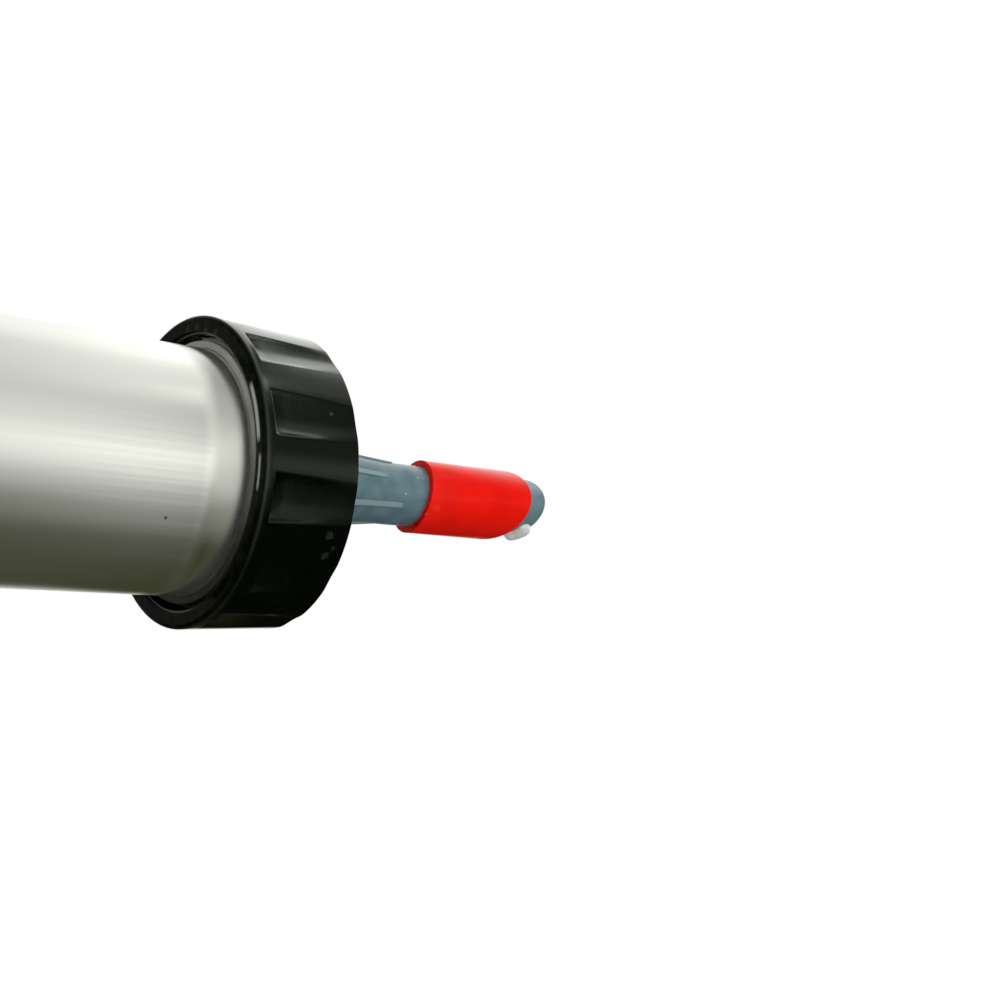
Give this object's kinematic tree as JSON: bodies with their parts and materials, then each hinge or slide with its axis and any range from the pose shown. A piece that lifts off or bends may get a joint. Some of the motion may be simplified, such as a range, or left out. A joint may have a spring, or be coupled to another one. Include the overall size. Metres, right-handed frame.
{
  "type": "caulk tube",
  "caption": "Aluminium sealant barrel with a black screw-on collar, a cartridge inside, a slanted nozzle and a red sleeve on it.",
  "frame": {"origin": "centre of the rear end face, on which the tube stands", "axes": "+Z along the tube, from the rear end to the nozzle's tip; +X is the side that is up in the picture"},
  "size_m": [0.0708, 0.0708, 0.3116],
  "materials": {
    "barrel_metal": "satin drawn",
    "ring_metal": "turned",
    "collar_plastic": "glossy moulded",
    "washer_plastic": "smooth",
    "cartridge_plastic": "moulded",
    "piston_plastic": "moulded",
    "sealant": "soft paste",
    "nozzle_plastic": "translucent moulded",
    "sleeve_plastic": "satin moulded"
  },
  "bodies": {
    "barrel": {"barrel_tube": "barrel_metal", "socket_ring": "ring_metal", "thread_ring": "ring_metal", "cartridge_shell": "cartridge_plastic", "sealant_fill": "sealant"},
    "washer": {"slip_washer": "washer_plastic"},
    "collar": {"collar": "collar_plastic"},
    "piston": {"cartridge_piston": "piston_plastic"},
    "nozzle_column": {"nozzle_sealant": "sealant"},
    "nozzle": {"nozzle": "nozzle_plastic", "tip_bead": "sealant"},
    "sleeve": {"nozzle_sleeve": "sleeve_plastic"}
  },
  "joints": [
    {"name": "collar_advance", "type": "slide", "parent": "barrel", "child": "washer", "axis": [0, 0, 1], "range_m": [0, 0.01201]},
    {"name": "collar_turn", "type": "hinge", "parent": "washer", "child": "collar", "pos_m": [0, 0, 0.22], "axis": [0, 0, 1], "range_deg": [0, 1440]},
    {"name": "nozzle_advance", "type": "slide", "parent": "barrel", "child": "nozzle_column", "axis": [0, 0, 1], "range_m": [0, 0.01001]},
    {"name": "nozzle_turn", "type": "hinge", "parent": "nozzle_column", "child": "nozzle", "pos_m": [0, 0, 0.235], "axis": [0, 0, 1], "range_deg": [0, 1440]},
    {"name": "sleeve_slide", "type": "slide", "parent": "nozzle", "child": "sleeve", "axis": [0, 0, 1], "range_m": [-0.006, 0.003]},
    {"name": "piston_slide", "type": "slide", "parent": "barrel", "child": "piston", "axis": [0, 0, 1], "range_m": [0, 0.165], "deforming": ["sealant_fill"]}
  ],
  "couplings": [
    {"joint": "collar_advance", "follows": "collar_turn", "m_per_rad": 0.00047746},
    {"joint": "nozzle_advance", "follows": "nozzle_turn", "m_per_rad": 0.00039789}
  ]
}
